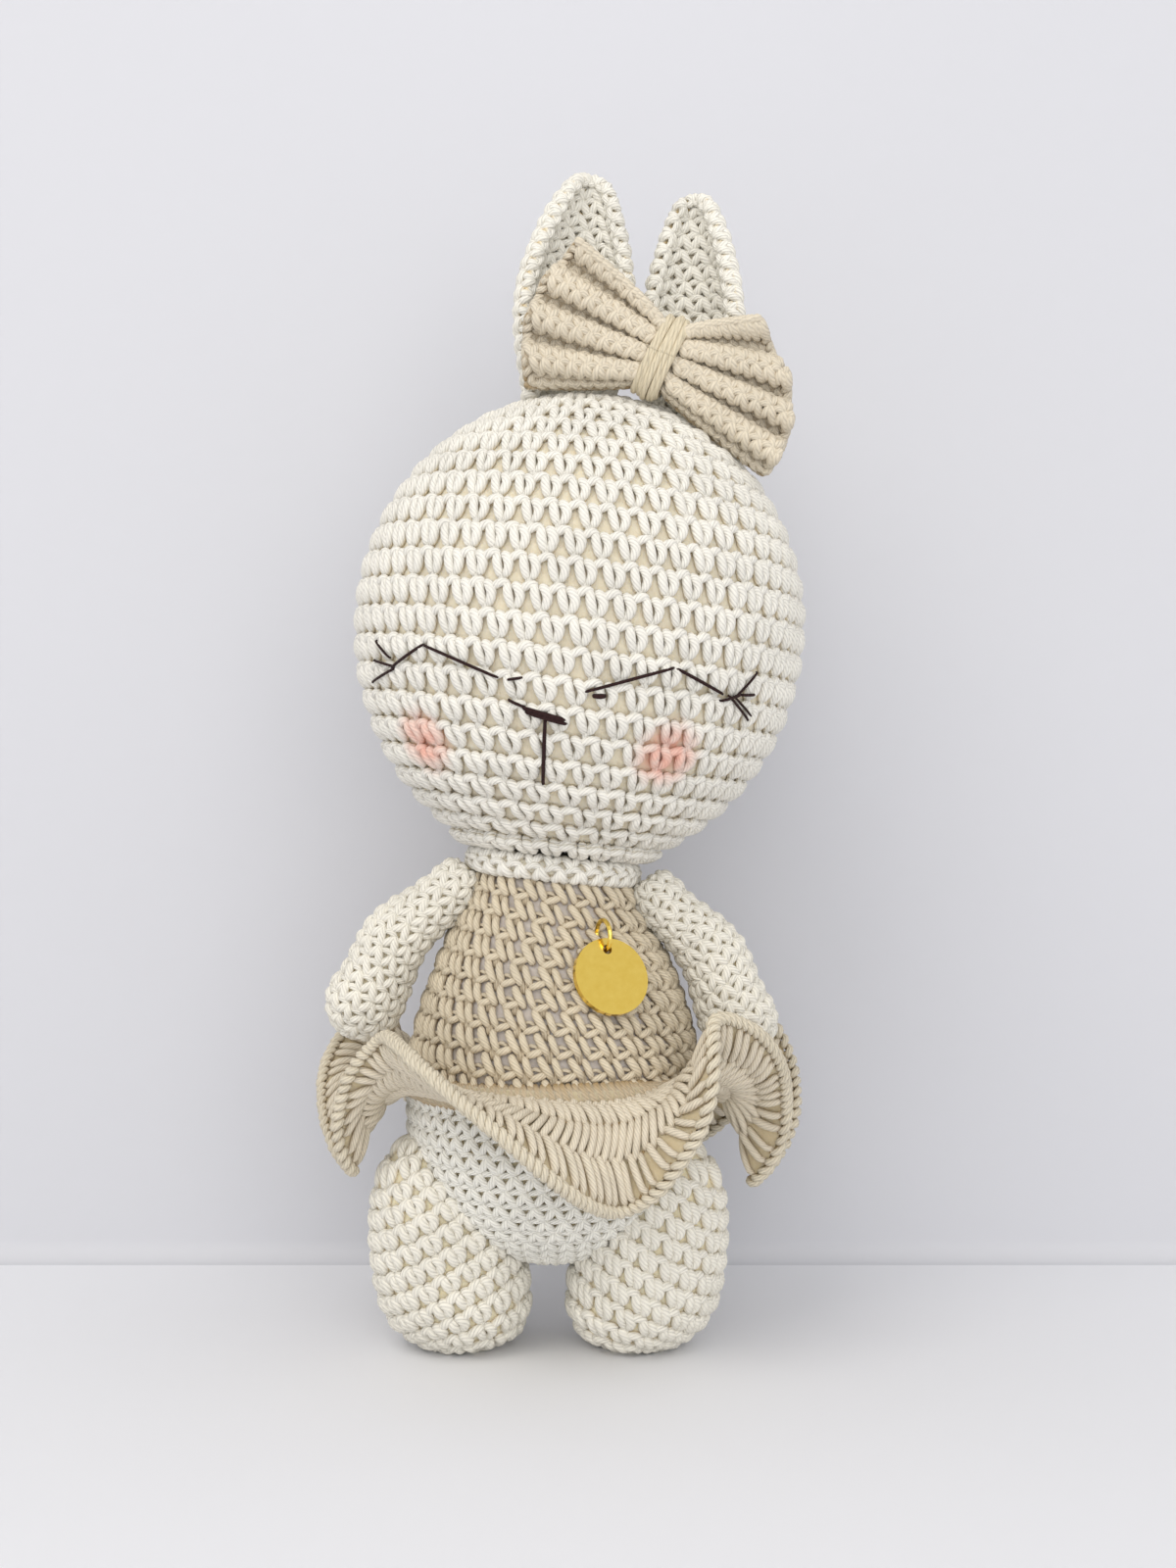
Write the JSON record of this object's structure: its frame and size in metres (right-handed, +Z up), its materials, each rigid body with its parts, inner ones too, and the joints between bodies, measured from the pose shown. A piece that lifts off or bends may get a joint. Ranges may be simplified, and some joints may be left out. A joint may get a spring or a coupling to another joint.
{
  "type": "amigurumi doll",
  "caption": "Small crocheted doll that stands on two round feet, with a pleated bow, a waved flounce and a disc charm on a jump ring.",
  "frame": {"origin": "middle of the outline at the resting plane, between the two soles", "axes": "+Z up, -Y the way the face looks, +X to the viewer's right when the doll is seen from the front"},
  "size_m": [0.0782, 0.079, 0.188],
  "materials": {
    "cream_cotton_yarn": "crocheted cotton yarn, matt with a soft sheen on each ply",
    "off_white_cotton_yarn": "crocheted cotton yarn, matt, slightly fuzzy",
    "beige_cotton_yarn": "crocheted cotton yarn, matt",
    "pale_beige_cotton_yarn": "crocheted cotton yarn, matt",
    "wound_beige_yarn": "yarn wound side by side, soft sheen",
    "fibre_stuffing": "loose polyester fibre, matt",
    "dark_brown_thread": "two-ply embroidery thread, dull",
    "gold_plated_brass": "polished gold plating"
  },
  "bodies": {
    "torso": {"leotard_cover": "beige_cotton_yarn", "pants_cover": "off_white_cotton_yarn", "body_stuffing": "fibre_stuffing", "neck_seam": "cream_cotton_yarn", "flounce": "beige_cotton_yarn", "flounce_edging": "pale_beige_cotton_yarn"},
    "head": {"head_cover": "cream_cotton_yarn", "head_stuffing": "fibre_stuffing", "bow_left_loop": "beige_cotton_yarn", "bow_right_loop": "beige_cotton_yarn", "bow_wrap": "wound_beige_yarn", "left_eye_thread": "dark_brown_thread", "right_eye_thread": "dark_brown_thread", "nose_thread": "dark_brown_thread", "mouth_thread": "dark_brown_thread"},
    "left_ear": {"left_ear": "off_white_cotton_yarn"},
    "right_ear": {"right_ear": "off_white_cotton_yarn"},
    "left_arm": {"left_arm_cover": "off_white_cotton_yarn", "left_arm_stuffing": "fibre_stuffing"},
    "right_arm": {"right_arm_cover": "off_white_cotton_yarn", "right_arm_stuffing": "fibre_stuffing"},
    "left_leg": {"left_leg_cover": "off_white_cotton_yarn", "left_leg_stuffing": "fibre_stuffing"},
    "right_leg": {"right_leg_cover": "off_white_cotton_yarn", "right_leg_stuffing": "fibre_stuffing"},
    "jump_ring": {"jump_ring": "gold_plated_brass"},
    "gold_disc": {"gold_disc": "gold_plated_brass"}
  },
  "joints": [
    {"name": "head_turn", "type": "hinge", "parent": "torso", "child": "head", "pos_m": [-0.00094, -0.0003, 0.078], "axis": [0.1115, 0, 0.9938], "range_deg": [-20, 20], "stiffness_Nm_per_rad": 0.05},
    {"name": "left_arm_lift", "type": "hinge", "parent": "torso", "child": "left_arm", "pos_m": [-0.01644, -0.00331, 0.0741], "axis": [0, 1, 0], "range_deg": [0, 36], "stiffness_Nm_per_rad": 0.01},
    {"name": "right_arm_lift", "type": "hinge", "parent": "torso", "child": "right_arm", "pos_m": [0.01566, -0.00331, 0.0722], "axis": [0, -1, 0], "range_deg": [0, 40], "stiffness_Nm_per_rad": 0.01},
    {"name": "left_leg_swing", "type": "hinge", "parent": "torso", "child": "left_leg", "pos_m": [-0.00094, -0.0003, 0.037], "axis": [-1, 0, 0], "range_deg": [-12, 20], "stiffness_Nm_per_rad": 1.5},
    {"name": "right_leg_swing", "type": "hinge", "parent": "torso", "child": "right_leg", "pos_m": [-0.00094, -0.0003, 0.037], "axis": [-1, 0, 0], "range_deg": [-12, 20], "stiffness_Nm_per_rad": 1.5},
    {"name": "left_ear_bend", "type": "hinge", "parent": "head", "child": "left_ear", "pos_m": [0.0017, 0.0047, 0.15181], "axis": [-0.9956, 0, 0.0941], "range_deg": [0, 35], "stiffness_Nm_per_rad": 0.01},
    {"name": "right_ear_bend", "type": "hinge", "parent": "head", "child": "right_ear", "pos_m": [0.01957, 0.0047, 0.14786], "axis": [-0.9984, 0, 0.0558], "range_deg": [0, 35], "stiffness_Nm_per_rad": 0.01},
    {"name": "jump_ring_swing", "type": "hinge", "parent": "torso", "child": "jump_ring", "pos_m": [0.0069, -0.01676, 0.06692], "axis": [-0.9026, -0.4305, 0], "range_deg": [0, 45]},
    {"name": "gold_disc_swing", "type": "hinge", "parent": "jump_ring", "child": "gold_disc", "pos_m": [0.00729, -0.01756, 0.06474], "axis": [-0.9026, -0.4305, 0], "range_deg": [0, 25]}
  ]
}
